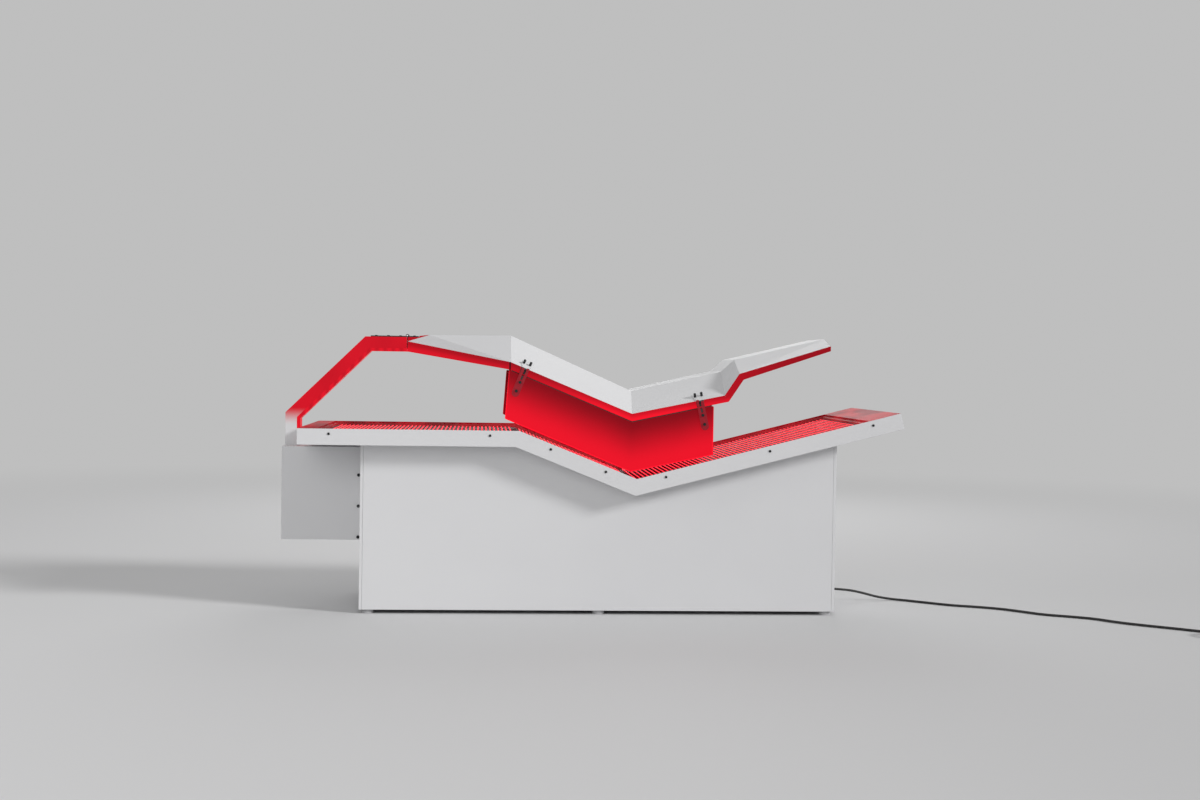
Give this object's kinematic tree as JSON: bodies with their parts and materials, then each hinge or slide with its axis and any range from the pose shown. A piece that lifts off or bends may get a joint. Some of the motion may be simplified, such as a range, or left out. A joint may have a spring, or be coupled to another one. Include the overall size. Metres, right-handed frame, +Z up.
{
  "type": "red light therapy bed",
  "caption": "Free-standing red light therapy bed: white cabinet, V-profile lit deck, foot-end arm and a hinged, folded lit canopy with swinging side panels.",
  "frame": {"origin": "on the floor, under the middle of the bed without its cord", "axes": "+X to the head end, +Y to the far long side, +Z up"},
  "size_m": [3.3281, 1.3013, 1.0002],
  "materials": {
    "white_paint": "satin powder coat",
    "clear_acrylic": "clear, polished, lit red from below",
    "lit_diffuser": "translucent, lit red from inside",
    "led_board": "white board with red LEDs",
    "bare_sheet": "mill finish",
    "black_hardware": "black oxide",
    "bright_steel": "brushed",
    "black_plastic": "matte",
    "black_rubber": "matte"
  },
  "bodies": {
    "base": {"deck_tray": "white_paint", "near_panel": "white_paint", "far_panel": "white_paint", "head_cover": "white_paint", "foot_cover": "white_paint", "foot_column": "white_paint", "arm_shell": "white_paint", "leg_plate": "clear_acrylic", "thigh_plate": "clear_acrylic", "back_plate": "clear_acrylic", "arm_diffuser": "lit_diffuser", "leg_board": "led_board", "thigh_board": "led_board", "back_board": "led_board", "arm_board": "led_board", "base_pan": "bare_sheet", "foot_bulkhead": "bare_sheet", "thigh_bulkhead": "bare_sheet", "back_bulkhead": "bare_sheet", "led_power_supplies": "bare_sheet", "rim_screws": "black_hardware", "column_bolts": "black_hardware", "hinge_fixed_leaf": "black_hardware", "hinge_arm_screws": "black_hardware", "hinge_pin": "bright_steel", "plug_pins": "bright_steel", "control_unit": "black_plastic", "fan_housings": "black_plastic", "switch_bezel": "black_plastic", "cord_gland": "black_plastic", "plug_body": "black_plastic", "cord_tube": "black_plastic", "cord_coil": "black_plastic", "feet": "black_rubber", "stop_pads": "black_rubber"},
    "canopy": {"canopy_leg_shell": "white_paint", "canopy_thigh_shell": "white_paint", "canopy_head_shell": "white_paint", "canopy_spine": "bare_sheet", "canopy_leg_board": "led_board", "canopy_thigh_board": "led_board", "canopy_head_board": "led_board", "canopy_leg_diffuser": "lit_diffuser", "canopy_thigh_diffuser": "lit_diffuser", "canopy_head_diffuser": "lit_diffuser", "hinge_moving_leaf": "black_hardware", "hinge_canopy_screws": "black_hardware", "strap_leaves": "bright_steel", "strap_pins": "bright_steel", "strap_screws": "black_hardware"},
    "near_side_panel": {"near_side_panel": "lit_diffuser", "near_straps": "bright_steel", "near_strap_bolts": "black_hardware"},
    "far_side_panel": {"far_side_panel": "lit_diffuser", "far_straps": "bright_steel", "far_strap_bolts": "black_hardware"},
    "foot_fan": {"foot_fan_rotor": "black_plastic"},
    "head_fan": {"head_fan_rotor": "black_plastic"},
    "power_switch": {"switch_rocker": "black_plastic"}
  },
  "joints": [
    {"name": "canopy_tilt", "type": "hinge", "parent": "base", "child": "canopy", "pos_m": [-0.66875, 0, 0.9919], "axis": [0, -1, 0], "range_deg": [0, 50]},
    {"name": "near_panel_swing", "type": "hinge", "parent": "canopy", "child": "near_side_panel", "pos_m": [0.0785, -0.2911, 0.81943], "axis": [-0.986, 0, 0.1667], "range_deg": [0, 90]},
    {"name": "far_panel_swing", "type": "hinge", "parent": "canopy", "child": "far_side_panel", "pos_m": [0.0785, 0.2911, 0.81943], "axis": [0.986, 0, -0.1667], "range_deg": [0, 90]},
    {"name": "foot_fan_spin", "type": "hinge", "parent": "base", "child": "foot_fan", "pos_m": [-0.42, 0.304, 0.25], "axis": [0, 1, 0], "continuous": true},
    {"name": "head_fan_spin", "type": "hinge", "parent": "base", "child": "head_fan", "pos_m": [0.38, 0.304, 0.25], "axis": [0, 1, 0], "continuous": true},
    {"name": "power_switch_rock", "type": "hinge", "parent": "base", "child": "power_switch", "pos_m": [0.889, -0.08, 0.052], "axis": [0, -1, 0], "range_deg": [0, 12]}
  ]
}
